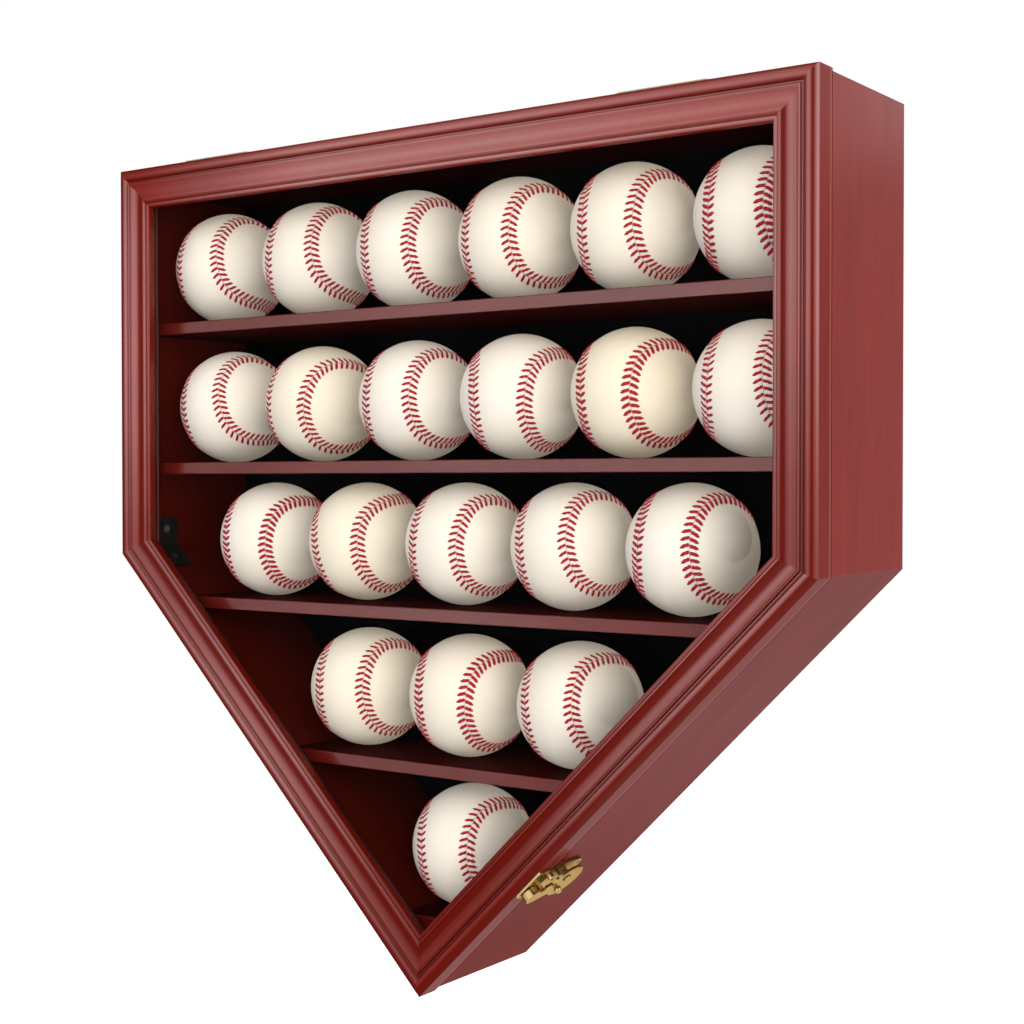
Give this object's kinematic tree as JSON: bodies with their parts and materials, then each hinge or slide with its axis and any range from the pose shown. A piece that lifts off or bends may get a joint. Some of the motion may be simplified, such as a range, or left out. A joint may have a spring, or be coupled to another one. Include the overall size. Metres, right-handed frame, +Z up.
{
  "type": "baseball display cabinet",
  "caption": "Wall cabinet in a home-plate outline with a top-hinged moulded door, clear pane, shelves of baseballs, felt back, butt hinges, hook latch and keyhole hangers.",
  "frame": {"origin": "on the wall plane, midway between the round entries of the two keyhole hangers", "axes": "+X to the viewer's right, +Y from the room into the wall, +Z up; the door faces -Y"},
  "size_m": [0.5, 0.112, 0.5067],
  "materials": {
    "cherry_wood": "cherry stain under satin lacquer",
    "shelf_wood": "cherry stain, glossy lacquer on top",
    "back_board": "bare hardboard",
    "black_felt": "short napped felt",
    "baseball_leather": "smooth cream leather with red stitching",
    "clear_acrylic": "clear polished sheet",
    "black_strip": "matt black",
    "brass": "lacquered, slightly dulled",
    "black_steel": "matt black paint",
    "zinc_steel": "zinc plated"
  },
  "bodies": {
    "cabinet": {"back_brads": "zinc_steel", "back_panel": "back_board", "baseball_1_1": "baseball_leather", "baseball_1_2": "baseball_leather", "baseball_1_3": "baseball_leather", "baseball_1_4": "baseball_leather", "baseball_1_5": "baseball_leather", "baseball_1_6": "baseball_leather", "baseball_2_1": "baseball_leather", "baseball_2_2": "baseball_leather", "baseball_2_3": "baseball_leather", "baseball_2_4": "baseball_leather", "baseball_2_5": "baseball_leather", "baseball_2_6": "baseball_leather", "baseball_3_1": "baseball_leather", "baseball_3_2": "baseball_leather", "baseball_3_3": "baseball_leather", "baseball_3_4": "baseball_leather", "baseball_3_5": "baseball_leather", "baseball_4_1": "baseball_leather", "baseball_4_2": "baseball_leather", "baseball_4_3": "baseball_leather", "baseball_5_1": "baseball_leather", "bracket_screws": "zinc_steel", "case_left_board": "cherry_wood", "case_lower_left_board": "cherry_wood", "case_lower_right_board": "cherry_wood", "case_right_board": "cherry_wood", "case_top_board": "cherry_wood", "corner_brackets": "black_steel", "felt_lining": "black_felt", "hanger_plates": "zinc_steel", "hanger_screws": "zinc_steel", "hinge_case_leaf_left": "brass", "hinge_case_leaf_right": "brass", "hinge_case_screws": "brass", "hinge_pins": "brass", "latch_case_plate": "brass", "latch_case_screws": "brass", "latch_pivot_rivet": "brass", "shelf_1": "shelf_wood", "shelf_2": "shelf_wood", "shelf_3": "shelf_wood", "shelf_4": "shelf_wood", "shelf_5": "shelf_wood"},
    "door": {"door_left_stile": "cherry_wood", "door_lower_left_rail": "cherry_wood", "door_lower_right_rail": "cherry_wood", "door_pane": "clear_acrylic", "door_right_stile": "cherry_wood", "door_top_rail": "cherry_wood", "hinge_door_leaf_left": "brass", "hinge_door_leaf_right": "brass", "hinge_door_screws": "brass", "latch_door_plate": "brass", "latch_door_screws": "brass", "latch_stud": "brass", "pane_strips": "black_strip"},
    "hook": {"latch_hook": "brass", "latch_knob": "brass"}
  },
  "joints": [
    {"name": "door_hinge", "type": "hinge", "parent": "cabinet", "child": "door", "pos_m": [0, -0.0936, 0.0474], "axis": [-1, 0, 0], "range_deg": [0, 180]},
    {"name": "hook_pivot", "type": "hinge", "parent": "cabinet", "child": "hook", "pos_m": [0.07923, -0.0804, -0.37777], "axis": [0.7071, 0, -0.7071], "range_deg": [-24, 70]}
  ]
}
